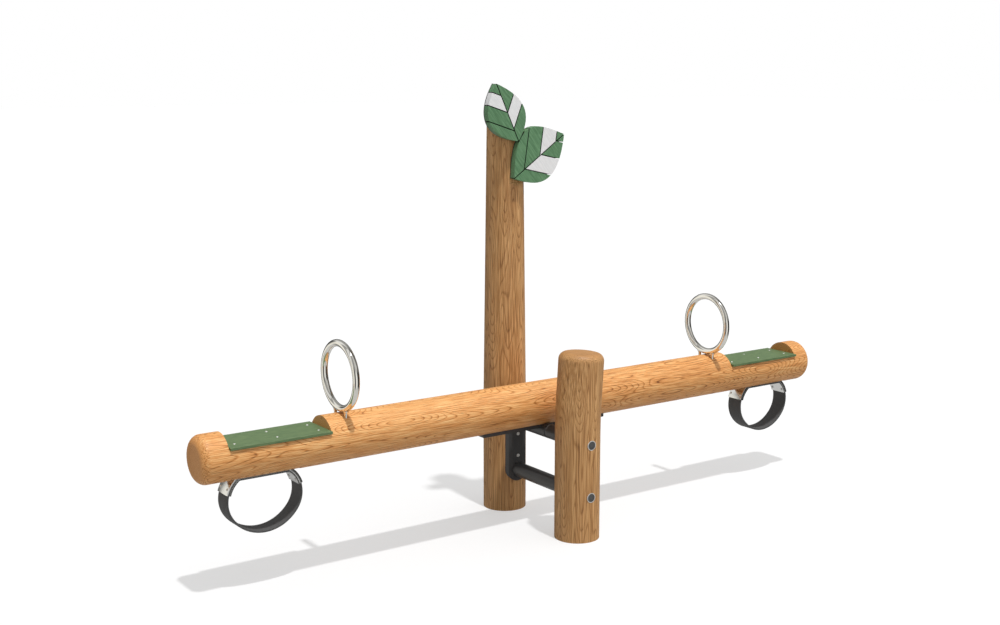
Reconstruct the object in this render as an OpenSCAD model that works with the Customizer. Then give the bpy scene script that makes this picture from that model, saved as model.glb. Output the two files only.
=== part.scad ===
// Two-seat log seesaw. A round beam rocks between a tall and a short post and carries
// ring handles, seat boards and belt bumpers. Two board leaves dress the tall post.
// Millimetres. +X runs along the beam, +Y towards the tall post, +Z up from the ground.

/* [Beam] */
// Diameter of the beam log
beam_d = 180; // [160:1:210]
// Length of the beam log
beam_length = 3000; // [2700:10:3400]
// Rounding of the beam's end edges
beam_end_round = 35; // [10:1:45]
// Height of the beam's axis above the ground when it is level
beam_z = 500; // [470:1:560]
// Depth of the flats cut under the beam for the steelwork
flat_depth = 10; // [7:0.5:14]

/* [Posts] */
// Diameter of both posts at the ground
post_d = 180; // [160:1:210]
// Distance between the axes of the two posts
post_spacing = 500; // [460:1:600]
// Height of the tall post
tall_post_height = 1680; // [1600:10:1900]
// Diameter of the tall post at its top
tall_post_top_d = 148; // [130:1:158]
// Height at which the tall post starts to taper
taper_start_z = 460; // [455:1:700]
// Height of the short post
short_post_height = 750; // [680:5:850]
// Lean of the short post's upper part, in degrees
short_post_lean = 3.6; // [1:0.1:6]
// Distance from the brackets' top to the place where the short post starts to lean
short_post_bend_offset = 56; // [10:1:100]
// Step in at the bend of the short post
short_post_step = 0.7; // [0.6:0.1:3]
// Rounding of the posts' top edges
post_top_round = 30; // [10:1:40]

/* [Pivot] */
// Diameter of the axle
axle_d = 25; // [20:1:28]
// Outer diameter of the bearing tube and of the axle sleeves
housing_d = 60; // [54:1:66]
// Length of the bearing tube
housing_length = 136; // [100:1:160]
// Distance of the axle's middle below the flat under the beam
pivot_drop = 26; // [24:0.5:30]
// Gap between the bearing tube's crown and its groove in the beam
crown_gap = 0.5; // [0.3:0.1:2]
// Wall of the plain bushes
bush_wall = 4; // [2.5:0.5:6]
// Length of each bush inside the bearing tube
bush_length = 45; // [30:1:48]
// Diameter of the bush flanges
bush_flange_d = 46; // [40:1:50]
// Thickness of the bush flanges
bush_flange_t = 4; // [2:0.5:6]
// Radial running clearance of the axle in the bushes
running_clearance = 0.05; // [0.02:0.01:0.1]
// Side clearance between a bush flange and the sleeve beside it
side_clearance = 0.3; // [0.2:0.1:1]

/* [Steel frame] */
// Height of the lower cross tube's axis
tube_z = 182; // [150:1:220]
// Outer diameter of the lower cross tube
tube_d = 60; // [48:1:70]
// Wall of the lower cross tube
tube_wall = 4; // [2.5:0.5:6]
// Diameter of the tie rod in the cross tube and of the axle's threaded ends
rod_d = 16; // [12:1:18]
// Width of the post brackets
bracket_w = 100; // [92:1:110]
// Width of the flat middle of a bracket
bracket_flat_w = 44; // [36:1:50]
// Width of a bracket across its inclined facets
bracket_facet_w = 86; // [70:1:90]
// Depth that the inclined facets fall back
bracket_facet_drop = 6; // [3:0.5:9]
// Depth of the side flanges from the facets to the post
bracket_flange_drop = 17; // [14:0.5:20]
// Plate thickness of the brackets
bracket_t = 6; // [4:0.5:8]
// Distance of the bracket's front face from the post
bracket_stand_off = 8; // [7:0.5:12]
// Distance of the bracket screws from the middle between axle and cross tube
bracket_screw_offset = 47; // [30:1:55]

/* [Saddle] */
// Length of the saddle plates from end to end
saddle_length = 610; // [450:5:750]
// Width of the saddle plates
saddle_w = 80; // [70:1:90]
// Thickness of the saddle plates
saddle_t = 15; // [10:0.5:20]
// Chamfer on the outer corners of the saddle plates
saddle_chamfer = 3; // [1:0.5:15]
// Distance between the two screws across a saddle plate
saddle_screw_gauge = 44; // [36:1:50]
// Distance of the outer saddle screws from the plate's end
saddle_screw_inset = 35; // [20:1:50]
// Distance between the two pairs of screws in a saddle plate
saddle_screw_pitch = 160; // [80:1:180]

/* [Post fasteners] */
// Depth of the fastener pockets in the posts
pocket_depth = 35; // [30:1:45]
// Outer diameter of the steel rim in a pocket
rim_d = 39; // [37:0.5:43]
// Diameter of the cover cap in the rim
cap_d = 33.5; // [31:0.5:35]
// Thickness of the cap's rim plug
cap_t = 9; // [6:0.5:12]
// Height of the cap's domed face
cap_dome = 2; // [1:0.5:4]
// Distance that the rims stand proud of the posts
rim_proud = 0.5; // [0:0.1:2]
// Thickness of the washers under the nuts
washer_t = 3; // [2:0.5:4]
// Outer diameter of the washers
washer_d = 30; // [28:0.5:30.5]
// Width of the nuts across their flats
nut_af = 24; // [20:0.5:26]
// Height of the nuts
nut_h = 13; // [9:0.5:15]
// Thread that stands out beyond a nut
thread_end = 4; // [2:0.5:6]

/* [Seats] */
// Length of the seat notches
seat_length = 400; // [340:5:450]
// Distance of the seat notches from the beam's ends
seat_inset = 100; // [80:5:140]
// Height of the notch's floor above the beam's axis
seat_floor = 40; // [25:1:50]
// Width of the seat boards
seat_w = 182; // [150:1:200]
// Thickness of the seat boards
seat_t = 10; // [8:0.5:18]
// Rounding of the seat boards' upper edges
seat_round = 2; // [1:0.5:6]
// Gap between a seat board and the notch's end walls
seat_gap = 1; // [0.5:0.5:3]
// Distance of the seat screws from the board's ends
seat_screw_inset = 35; // [20:1:60]
// Distance between the two rows of seat screws
seat_screw_gauge = 90; // [60:1:100]

/* [Handles] */
// Diameter of the ring handles at the middle of the tube
ring_d = 245; // [200:1:300]
// Diameter of the handle tube
ring_tube_d = 27; // [22:0.5:34]
// Gap between a ring and the beam below it
ring_gap = 3; // [2:0.5:15]
// Distance of the handles from the inner ends of the seat notches
handle_offset = 81; // [60:1:150]
// Diameter of the handle pegs
peg_d = 12; // [10:0.5:14]
// Distance between the two pegs of a handle
peg_gauge = 80; // [60:1:90]
// Depth of the nut pockets under the beam
peg_pocket_depth = 30; // [24:1:40]
// Diameter of the nut pockets under the beam
peg_pocket_d = 28; // [27:0.5:34]
// Outer diameter of the peg washers
peg_washer_d = 24; // [20:0.5:26]
// Thickness of the peg washers
peg_washer_t = 2.5; // [1.5:0.5:4]
// Width of the peg nuts across their flats
peg_nut_af = 18; // [17:0.5:21]
// Height of the peg nuts
peg_nut_h = 10; // [7:0.5:12]

/* [Bumpers] */
// Distance of the bumpers from the beam's ends
bumper_inset = 250; // [200:5:300]
// Greatest width of the belt loop
loop_w = 298; // [270:1:330]
// Depth of the belt loop below the beam's flat
loop_drop = 217; // [205:1:235]
// Depth of the loop's widest place below the beam's flat
loop_shoulder = 87; // [80:1:92]
// Bend radius of the loop's sides, at the middle of the belt
loop_side_r = 108; // [102:1:112]
// Width of the belt
belt_w = 75; // [60:1:90]
// Thickness of the belt
belt_t = 8; // [6:0.5:10]
// Width of the bumper's steel brackets and clamp plates
bumper_w = 80; // [70:1:95]
// Thickness of the bumper brackets
bumper_bracket_t = 5; // [3:0.5:6]
// Thickness of the clamp plates
clamp_t = 4; // [2:0.5:6]
// Room between a clamp plate's lips and the belt's edges
clamp_room = 0.3; // [0.2:0.1:1]
// Angle at which bracket and clamp plates end, above the loop's widest place
clamp_low_angle = 16; // [10:1:18]
// Gap between the beam's flat and the upper ends of belt and clamp plates
belt_top_gap = 2; // [1:0.5:5]
// Angle of the clamp bolts
clamp_bolt_angle = 26; // [24:1:34]
// Distance between the two bolts of a clamp plate
clamp_bolt_gauge = 58; // [40:1:64]
// Distance between the screws along a bumper bracket
bumper_screw_pitch = 100; // [60:1:120]
// Distance between the screws across a bumper bracket
bumper_screw_gauge = 40; // [30:1:50]
// Room between a clamp plate and the end of the flat
flat_end_room = 1.6; // [1:0.1:5]

/* [Leaves] */
// Depth of the flat for the leaves, at the tall post's top
leaf_flat_depth = 2; // [1:0.5:5]
// Length of that flat below the lower leaf's stalk
leaf_flat_run = 20; // [18:1:40]
// Thickness of the leaf back plates
leaf_plate_t = 5; // [4:0.5:8]
// Thickness of the leaf boards
leaf_board_t = 27; // [18:1:32]
// Gap between neighbouring leaf boards
leaf_gap = 4; // [2:0.5:7]
// Upper leaf: place of the stalk end, sideways and down from the post's top
upper_leaf_base = [-5, -126]; // [-160:1:20]
// Upper leaf: direction of the middle rib, in degrees from +X
upper_leaf_angle = 115.4; // [105:0.1:125]
// Upper leaf: length of the middle rib
upper_leaf_length = 255; // [230:1:270]
// Upper leaf: where the left veins start along the rib
upper_left_veins = [46, 128, 202]; // [20:1:220]
// Upper leaf: where the right veins start along the rib
upper_right_veins = [55, 127]; // [20:1:220]
// Upper leaf: two points that pull the left edge out, along and away from the rib
upper_left_bulge = [62, 101, 159, 152]; // [20:1:220]
// Upper leaf: two points that pull the right edge out, along and away from the rib
upper_right_bulge = [66, 115, 149, 103]; // [20:1:220]
// Lower leaf: place of the stalk end, sideways and down from the post's top
lower_leaf_base = [-26, -276]; // [-310:1:20]
// Lower leaf: direction of the middle rib, in degrees from +X
lower_leaf_angle = 34.4; // [28:0.1:40]
// Lower leaf: length of the middle rib
lower_leaf_length = 306; // [290:1:330]
// Lower leaf: where the left veins start along the rib
lower_left_veins = [59, 155, 253]; // [20:1:270]
// Lower leaf: where the right veins start along the rib
lower_right_veins = [65, 163, 259]; // [20:1:270]
// Lower leaf: two points that pull the left edge out, along and away from the rib
lower_left_bulge = [161, 231, 239, 86]; // [40:1:260]
// Lower leaf: two points that pull the right edge out, along and away from the rib
lower_right_bulge = [63, 81, 146, 178]; // [20:1:220]
// Angle between the veins and the middle rib, in degrees
vein_angle = 47; // [40:1:55]
// Upper leaf: screws into the post, sideways and up from the stalk end
upper_leaf_screws = [[0, 20], [-3, 88]]; // [-20:1:130]
// Lower leaf: screws into the post, sideways and up from the stalk end
lower_leaf_screws = [[40, 40], [36, 105]]; // [-20:1:130]
// Distance from the rib to the two screws of a leaf board
board_screw_reach = [15, 38]; // [10:1:40]
// Distance from the rib to the screw of a leaf's tip board
tip_screw_reach = 6; // [5:0.5:8]

/* [Screws] */
// Head diameter of the round-head coach screws
coach_head_d = 15; // [12:0.5:18]
// Head height of the round-head coach screws
coach_head_h = 5; // [3:0.5:7]
// Shank diameter of the coach screws
coach_d = 8; // [6:0.5:10]
// Length of the coach screws in the wood
coach_grip = 60; // [40:1:68]
// Head diameter of the seat screws
seat_head_d = 9; // [7:0.5:12]
// Head height of the seat screws
seat_head_h = 2; // [0.5:0.1:3]
// Shank diameter of the seat screws
seat_screw_d = 5; // [4:0.5:6]
// Length of the seat screws in the wood
seat_screw_grip = 40; // [30:1:60]
// Head diameter of the clamp bolts
clamp_head_d = 10; // [8:0.5:12]
// Head height of the clamp bolts
clamp_head_h = 2.5; // [1.5:0.5:4]
// Diameter of the clamp bolts
clamp_bolt_d = 6; // [5:0.5:8]
// Width of the clamp nuts across their flats
clamp_nut_af = 10; // [9:0.5:13]
// Height of the clamp nuts
clamp_nut_h = 2.5; // [2:0.5:6]
// Head diameter of the countersunk leaf screws
leaf_head_d = 13; // [10:0.5:16]
// Shank diameter of the countersunk leaf screws
leaf_screw_d = 6.5; // [5:0.5:8]
// Head diameter of the countersunk board screws
board_head_d = 8; // [6:0.5:10]
// Shank diameter of the countersunk board screws
board_screw_d = 4; // [3:0.5:5]
// Length of the board screws in a leaf board
board_screw_grip = 17; // [10:1:17]
// Radial clearance of bolts, rods and pegs in their holes
hole_clearance = 0.5; // [0.2:0.1:1]
// Clearance between curved pieces that are seated on each other
seating = 0.1; // [0.05:0.01:0.3]

/* [Hidden] */
$fn = 72;
// Overlap of a cutting shape past the surface that it cuts
past = 2;

beam_r = beam_d / 2;
post_r = post_d / 2;
post_y = post_spacing / 2;
flat_z = beam_z - beam_r + flat_depth;
pivot_z = flat_z - pivot_drop;
sleeve_start = housing_length / 2 + bush_flange_t + side_clearance;
bracket_y = post_y - post_r - bracket_stand_off;
bracket_top_z = pivot_z + bracket_w / 2;
bracket_mid_z = (pivot_z + tube_z) / 2;
post_face_y = post_y + post_r;
pocket_y = post_face_y - pocket_depth;
nut_y = pocket_y + washer_t;
thread_y = nut_y + nut_h + thread_end;
pocket_d = rim_d + 2 * seating;
bore_d = axle_d + 2 * hole_clearance;
rod_bore_d = rod_d + 2 * hole_clearance;

// The leaning part of the short post starts a little way inside the upright part
lean_z = bracket_top_z + short_post_bend_offset;
lean_lap = short_post_step / (2 * sin(short_post_lean));
leaning_length = (short_post_height - lean_z) / cos(short_post_lean);

seat_x = beam_length / 2 - seat_inset - seat_length / 2;
seat_floor_z = beam_z + seat_floor;
handle_x = beam_length / 2 - seat_inset - seat_length - handle_offset;
ring_z = beam_z + beam_r + ring_gap + (ring_tube_d + ring_d) / 2;
peg_foot_z = beam_z - sqrt(pow(beam_r, 2) - pow(peg_gauge / 2, 2)) + peg_pocket_depth;
peg_nut_z = peg_foot_z - peg_washer_t - peg_nut_h;

// The belt loop is made of arcs that run into each other: two sides and a flatter bottom
bumper_x = beam_length / 2 - bumper_inset;
shoulder_z = flat_z - loop_shoulder;
side_x = loop_w / 2 - belt_t / 2 - loop_side_r;
loop_fall = loop_drop - belt_t / 2 - loop_shoulder;
bottom_r = (pow(side_x, 2) + pow(loop_fall, 2) - pow(loop_side_r, 2)) / (2 * (loop_fall - loop_side_r));
bottom_z = shoulder_z - loop_fall + bottom_r;
join_angle = atan2(bottom_r - loop_fall, side_x);
belt_in_r = loop_side_r - belt_t / 2;
belt_out_r = loop_side_r + belt_t / 2;
clamp_out_r = belt_out_r + clamp_t;
belt_top_angle = asin((loop_shoulder - belt_top_gap) / belt_out_r);
clamp_top_angle = asin((loop_shoulder - belt_top_gap) / clamp_out_r);
bracket_mid_r = belt_in_r - bumper_bracket_t / 2;
bracket_bend = asin((loop_shoulder - bumper_bracket_t / 2) / bracket_mid_r);
bracket_half = side_x + bracket_mid_r * cos(bracket_bend) + bumper_bracket_t / 2;
clamp_widest = side_x + sqrt(pow(clamp_out_r, 2) - pow(loop_shoulder - flat_depth, 2));
bumper_flat = 2 * (clamp_widest + flat_end_room);

leaf_y = post_y - tall_post_top_d / 2 + leaf_flat_depth;
leaf_front_y = leaf_y - leaf_plate_t;
leaf_flat_z = tall_post_height + lower_leaf_base.y - leaf_flat_run;

wood = "peru";
black_steel = [0.17, 0.17, 0.17];
stainless = [0.78, 0.77, 0.74];
dark_plastic = [0.33, 0.33, 0.31];
belt_black = [0.24, 0.24, 0.24];
seat_green = [0.36, 0.50, 0.32];
leaf_green = [0.35, 0.52, 0.38];
leaf_white = [0.88, 0.88, 0.88];

// A leaf is [base, angle, length, left veins, right veins, left bulge, right bulge]
upper_leaf = [upper_leaf_base, upper_leaf_angle, upper_leaf_length, upper_left_veins,
    upper_right_veins, upper_left_bulge, upper_right_bulge];
lower_leaf = [lower_leaf_base, lower_leaf_angle, lower_leaf_length, lower_left_veins,
    lower_right_veins, lower_left_bulge, lower_right_bulge];
LEFT = 1;
RIGHT = -1;
// Board of each side that is white, counted from the stalk
white_left = 2;
white_right = 1;

// Point on a cubic curve through p[0] and p[3], pulled by p[1] and p[2]
function curve(p, t) = pow(1 - t, 3) * p[0] + 3 * pow(1 - t, 2) * t * p[1]
    + 3 * (1 - t) * t * t * p[2] + t * t * t * p[3];

// Points of one leaf edge from the stalk to the tip
function leaf_edge(bulge, length, side, steps = 18) =
    let (p = [[0, 0], [bulge[0], side * bulge[1]], [bulge[2], side * bulge[3]], [length, 0]])
    [for (i = [0 : steps]) curve(p, i / steps)];

// Starts of the boards on one side of a leaf, from below the stalk to past the tip
function board_starts(leaf, side) =
    concat([-leaf[2]], side == LEFT ? leaf[3] : leaf[4], [2 * leaf[2]]);

// Same list with the ends at the stalk and the tip, which centres the boards' screws
function screw_starts(leaf, side) = concat([0], side == LEFT ? leaf[3] : leaf[4], [leaf[2]]);

// Screw places of a leaf's boards, along the rib and away from it
function board_screw_places(leaf) = [
    for (side = [LEFT, RIGHT])
        let (starts = screw_starts(leaf, side), last = len(starts) - 2)
        for (i = [0 : last], reach = i == last ? [tip_screw_reach] : board_screw_reach)
            [(starts[i] + starts[i + 1]) / 2 + reach / tan(vein_angle), side * reach]];

// Radius of the sphere under a dome of width d and height h
function dome_r(d, h) = (pow(d / 2, 2) + pow(h, 2)) / (2 * h);

// Unit normal to the left of the way from a to b
function normal(a, b) = [a.y - b.y, b.x - a.x] / norm(b - a);

// Point i of a bent line, moved sideways by t
function moved(line, i, t) =
    i == 0 ? line[0] + t * normal(line[0], line[1])
    : i == len(line) - 1 ? line[i] + t * normal(line[i - 1], line[i])
    : let (m = normal(line[i - 1], line[i]), n = normal(line[i], line[i + 1]))
        line[i] + t * (m + n) / (1 + m * n);

module on_left() { mirror([1, 0, 0]) children(); }

module on_front() { mirror([0, 1, 0]) children(); }

module on_both_ends() {
    children();
    on_left() children();
}

module on_both_posts() {
    children();
    on_front() children();
}

// Cylinder along Y from y0 to y1
module along_y(d, y0, y1) {
    translate([0, y0, 0]) rotate([-90, 0, 0]) cylinder(d = d, h = y1 - y0);
}

// Half profile of a log with one rounded end
module log_profile(d, h, round) {
    square([d / 2, h - round]);
    square([d / 2 - round, h]);
    translate([d / 2 - round, h - round]) intersection() {
        circle(r = round);
        square(round);
    }
}

// Cross-section of a plate of thickness t that follows a bent line
module bent_section(line, t) {
    last = len(line) - 1;
    polygon(concat(line, [for (i = [last : -1 : 0]) moved(line, i, t)]));
}

// Domed cap on the XY plane
module dome(d, h) {
    r = dome_r(d, h);
    intersection() {
        translate([0, 0, h - r]) sphere(r = r);
        cylinder(d = 2 * d, h = h);
    }
}

// Round plug along -Z whose end is a low dome above the XY plane
module domed_plug(d, h, length) {
    r = dome_r(d, h);
    intersection() {
        translate([0, 0, h - r]) sphere(r = r);
        translate([0, 0, -length]) cylinder(d = d, h = length + 2 * h);
    }
}

// Round-head screw along -Z, its head on the XY plane
module round_head_screw(head_d, head_h, d, length) {
    dome(head_d, head_h);
    translate([0, 0, -length]) cylinder(d = d, h = length);
}

// Countersunk screw along -Z, its head flush with the XY plane and sunk to sink_depth
module flat_head_screw(head_d, d, sink_depth, length) {
    translate([0, 0, -sink_depth]) cylinder(d1 = d, d2 = head_d, h = sink_depth);
    translate([0, 0, -length]) cylinder(d = d, h = length);
}

// Hexagon nut on the XY plane
module hex_nut(af, h, hole_d) {
    difference() {
        cylinder(d = af / cos(30), h = h, $fn = 6);
        translate([0, 0, -past]) cylinder(d = hole_d, h = h + 2 * past);
    }
}

module washer(d, t, hole_d) {
    difference() {
        cylinder(d = d, h = t);
        translate([0, 0, -past]) cylinder(d = hole_d, h = t + 2 * past);
    }
}

// Places of the bracket screws: their heads look from the tall post to the beam
module at_bracket_screws() {
    for (side = [-1, 1]) {
        translate([0, bracket_y, bracket_mid_z + side * bracket_screw_offset])
            rotate([90, 0, 0]) children();
    }
}

// Bores and fastener pockets that both posts have, on the tall post
module post_holes() {
    translate([0, 0, pivot_z]) along_y(bore_d, post_y - post_d, post_y + post_d);
    translate([0, 0, tube_z]) along_y(rod_bore_d, post_y - post_d, post_y + post_d);
    for (z = [pivot_z, tube_z]) {
        translate([0, 0, z]) along_y(pocket_d, pocket_y, post_face_y + post_d);
    }
    at_bracket_screws() translate([0, 0, -bracket_stand_off - coach_grip])
        cylinder(d = coach_d + 2 * seating, h = coach_grip + bracket_stand_off);
}

// Leaf frame: x along the leaf's rib, y to its left, z out of the leaf's front
module on_leaf(leaf, y) {
    translate([leaf[0].x, y, tall_post_height + leaf[0].y])
        rotate([90, 0, 0]) rotate([0, 0, leaf[1]]) children();
}

// Screw places of a leaf plate on the post, heads to the front
module at_leaf_screws(leaf, places) {
    for (p = places) {
        translate([leaf[0].x + p.x, leaf_front_y, tall_post_height + leaf[0].y + p.y])
            rotate([90, 0, 0]) children();
    }
}

module at_all_leaf_screws() {
    at_leaf_screws(upper_leaf, upper_leaf_screws) children();
    at_leaf_screws(lower_leaf, lower_leaf_screws) children();
}

module tall_post() {
    color(wood) difference() {
        translate([0, post_y, 0]) rotate_extrude() {
            polygon([[0, 0], [post_r, 0], [post_r, taper_start_z],
                [tall_post_top_d / 2, tall_post_height - post_top_round],
                [0, tall_post_height - post_top_round]]);
            log_profile(tall_post_top_d, tall_post_height, post_top_round);
        }
        post_holes();
        translate([-post_r, leaf_y - post_d, leaf_flat_z])
            cube([post_d, post_d, tall_post_height]);
        at_all_leaf_screws() translate([0, 0, -leaf_plate_t - coach_grip])
            cylinder(d = leaf_screw_d + 2 * seating, h = leaf_plate_t + coach_grip);
    }
}

module short_post() {
    color(wood) difference() {
        union() {
            translate([0, -post_y, 0]) cylinder(d = post_d, h = lean_z);
            translate([0, -post_y, lean_z]) rotate([0, short_post_lean, 0])
                translate([0, 0, -lean_lap]) rotate_extrude()
                    log_profile(post_d - 2 * short_post_step, leaning_length + lean_lap,
                        post_top_round);
        }
        on_front() post_holes();
    }
}

// Bent plate on the tall post's inner face, with round ends about axle and cross tube
module bracket() {
    facet_y = bracket_y + bracket_facet_drop;
    flange = [(bracket_w - bracket_facet_w) / 2, bracket_flange_drop];
    corner = [bracket_facet_w / 2, facet_y];
    section = [corner + 2 * flange, corner, [bracket_flat_w / 2, bracket_y],
        [-bracket_flat_w / 2, bracket_y], [-corner.x, corner.y],
        [-corner.x - 2 * flange.x, corner.y + 2 * flange.y]];
    difference() {
        intersection() {
            translate([0, 0, tube_z - bracket_w])
                linear_extrude(bracket_top_z - tube_z + bracket_w)
                    bent_section(section, -bracket_t);
            union() {
                for (z = [pivot_z, tube_z]) {
                    translate([0, 0, z]) along_y(bracket_w, 0, post_y);
                }
                translate([-bracket_w / 2, 0, tube_z])
                    cube([bracket_w, post_y, pivot_z - tube_z]);
            }
        }
        translate([0, post_y, 0]) cylinder(r = post_r + seating, h = bracket_top_z + past);
        translate([0, 0, pivot_z]) along_y(bore_d, 0, post_y);
        translate([0, 0, tube_z]) along_y(rod_bore_d, 0, post_y);
        at_bracket_screws() translate([0, 0, -bracket_stand_off])
            cylinder(d = coach_d + 2 * seating, h = bracket_stand_off + past);
    }
}

module rear_bracket() { color(black_steel) bracket(); }

module front_bracket() { color(black_steel) on_front() bracket(); }

module lower_tube() {
    color(black_steel) translate([0, 0, tube_z]) difference() {
        along_y(tube_d, -bracket_y, bracket_y);
        along_y(tube_d - 2 * tube_wall, -post_y, post_y);
    }
}

module axle_sleeve() {
    translate([0, 0, pivot_z]) difference() {
        along_y(housing_d, sleeve_start, bracket_y);
        along_y(bore_d, 0, post_y);
    }
}

module rear_axle_sleeve() { color(black_steel) axle_sleeve(); }

module front_axle_sleeve() { color(black_steel) on_front() axle_sleeve(); }

module pivot_axle() {
    color(stainless) translate([0, 0, pivot_z]) {
        along_y(axle_d, -pocket_y, pocket_y);
        along_y(rod_d, -thread_y, thread_y);
    }
}

module tie_rod() {
    color(stainless) translate([0, 0, tube_z]) along_y(rod_d, -thread_y, thread_y);
}

// Places of the four post fasteners, z pointing out of the posts
module at_post_fasteners(y) {
    for (z = [pivot_z, tube_z]) {
        on_both_posts() translate([0, y, z]) rotate([-90, 0, 0]) children();
    }
}

module post_washers() {
    color(stainless) at_post_fasteners(pocket_y) washer(washer_d, washer_t, rod_d + 2 * seating);
}

module post_nuts() {
    color(stainless) at_post_fasteners(nut_y) hex_nut(nut_af, nut_h, rod_d + 2 * seating);
}

module cap_rims() {
    color(stainless) at_post_fasteners(pocket_y)
        washer(rim_d, pocket_depth + rim_proud, cap_d + 2 * seating);
}

module cover_caps() {
    color(dark_plastic) at_post_fasteners(post_face_y + rim_proud) domed_plug(cap_d, cap_dome, cap_t);
}

module bracket_screws() {
    at_bracket_screws()
        round_head_screw(coach_head_d, coach_head_h, coach_d, bracket_stand_off + coach_grip);
}

module rear_bracket_screws() { color(stainless) bracket_screws(); }

module front_bracket_screws() { color(stainless) on_front() bracket_screws(); }

module leaf_outline(leaf) {
    left = leaf_edge(leaf[5], leaf[2], LEFT);
    right = leaf_edge(leaf[6], leaf[2], RIGHT);
    last = len(left) - 1;
    polygon(concat(right, [for (i = [last - 1 : -1 : 1]) left[i]]));
}

module leaf_plate(leaf, places) {
    difference() {
        on_leaf(leaf, leaf_y) linear_extrude(leaf_plate_t) leaf_outline(leaf);
        at_leaf_screws(leaf, places)
            flat_head_screw(leaf_head_d + 2 * seating, leaf_screw_d + 2 * seating,
                leaf_plate_t, leaf_plate_t + past);
        on_leaf(leaf, leaf_y) for (p = board_screw_places(leaf)) {
            translate([p.x, p.y, 0]) rotate([180, 0, 0])
                flat_head_screw(board_head_d + 2 * seating, board_screw_d + 2 * seating,
                    leaf_plate_t, leaf_plate_t + past);
        }
    }
}

module upper_leaf_plate() { color(black_steel) leaf_plate(upper_leaf, upper_leaf_screws); }

module lower_leaf_plate() { color(black_steel) leaf_plate(lower_leaf, lower_leaf_screws); }

module leaf_plate_screws() {
    color(stainless) at_all_leaf_screws()
        flat_head_screw(leaf_head_d, leaf_screw_d, leaf_plate_t, leaf_plate_t + coach_grip);
}

module leaf_board_screws() {
    color(stainless) for (leaf = [upper_leaf, lower_leaf]) {
        on_leaf(leaf, leaf_y) for (p = board_screw_places(leaf)) {
            translate([p.x, p.y, 0]) rotate([180, 0, 0])
                flat_head_screw(board_head_d, board_screw_d, leaf_plate_t,
                    leaf_plate_t + board_screw_grip);
        }
    }
}

// Board number i of one side, between two veins and the rib
module leaf_board(leaf, side, i) {
    starts = board_starts(leaf, side);
    half = leaf_gap / 2;
    low = starts[i] + half / sin(vein_angle);
    high = starts[i + 1] - half / sin(vein_angle);
    reach = leaf[2];
    is_white = i == (side == LEFT ? white_left : white_right);
    color(is_white ? leaf_white : leaf_green) difference() {
        on_leaf(leaf, leaf_front_y) linear_extrude(leaf_board_t) intersection() {
            leaf_outline(leaf);
            polygon([[low + half / tan(vein_angle), side * half],
                [low + reach / tan(vein_angle), side * reach],
                [high + reach / tan(vein_angle), side * reach],
                [high + half / tan(vein_angle), side * half]]);
        }
        on_leaf(leaf, leaf_front_y) for (p = board_screw_places(leaf)) {
            translate([p.x, p.y, -past])
                cylinder(d = board_screw_d + 2 * seating, h = board_screw_grip + past);
        }
    }
}

module beam_log() {
    color(wood) difference() {
        translate([0, 0, beam_z]) on_both_ends() rotate([0, 90, 0])
            rotate_extrude() log_profile(beam_d, beam_length / 2, beam_end_round);
        translate([-saddle_length / 2 - seat_gap, -beam_d, flat_z - beam_d])
            cube([saddle_length + 2 * seat_gap, 2 * beam_d, beam_d]);
        translate([0, 0, pivot_z]) along_y(housing_d + 2 * crown_gap, -beam_d, beam_d);
        at_saddle_screws() cylinder(d = coach_d + 2 * seating, h = saddle_t + coach_grip);
        on_both_ends() {
            translate([seat_x - seat_length / 2, -beam_d, seat_floor_z])
                cube([seat_length, 2 * beam_d, beam_d]);
            at_seat_screws() translate([0, 0, -seat_t - seat_screw_grip])
                cylinder(d = seat_screw_d + 2 * seating, h = seat_t + seat_screw_grip);
            at_pegs() {
                cylinder(d = peg_d + 2 * seating, h = beam_d);
                translate([0, 0, -beam_d]) cylinder(d = peg_pocket_d, h = beam_d);
            }
            translate([bumper_x - bumper_flat / 2, -beam_d, flat_z - beam_d])
                cube([bumper_flat, 2 * beam_d, beam_d]);
            at_bumper_screws() cylinder(d = coach_d + 2 * seating, h = bumper_bracket_t + coach_grip);
        }
    }
}

// Screw places under the saddle plates, z pointing up into the beam
module at_saddle_screws() {
    outer_x = saddle_length / 2 - saddle_screw_inset;
    for (x = [outer_x, outer_x - saddle_screw_pitch], side = [-1, 1]) {
        on_both_ends() translate([x, side * saddle_screw_gauge / 2, flat_z - saddle_t]) children();
    }
}

module saddle_plate() {
    half = saddle_w / 2;
    end = saddle_length / 2;
    difference() {
        translate([0, 0, flat_z - saddle_t]) linear_extrude(saddle_t)
            polygon([[0, -half], [end - saddle_chamfer, -half], [end, saddle_chamfer - half],
                [end, half - saddle_chamfer], [end - saddle_chamfer, half], [0, half]]);
        translate([0, 0, pivot_z]) along_y(housing_d + 2 * seating, -beam_d, beam_d);
        translate([-housing_d, -beam_d, pivot_z]) cube([housing_d, 2 * beam_d, beam_d]);
        at_saddle_screws() cylinder(d = coach_d + 2 * seating, h = saddle_t + past);
    }
}

module left_saddle_plate() { color(black_steel) on_left() saddle_plate(); }

module right_saddle_plate() { color(black_steel) saddle_plate(); }

module bearing_tube() {
    color(black_steel) translate([0, 0, pivot_z]) difference() {
        along_y(housing_d, -housing_length / 2, housing_length / 2);
        along_y(axle_d + 2 * (running_clearance + bush_wall), -housing_length, housing_length);
    }
}

// Flanged plain bush in the rear end of the bearing tube
module bush() {
    end = housing_length / 2;
    translate([0, 0, pivot_z]) difference() {
        union() {
            along_y(axle_d + 2 * (running_clearance + bush_wall), end - bush_length, end);
            along_y(bush_flange_d, end, end + bush_flange_t);
        }
        along_y(axle_d + 2 * running_clearance, 0, housing_length);
    }
}

module rear_bush() { color(dark_plastic) bush(); }

module front_bush() { color(dark_plastic) on_front() bush(); }

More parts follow.
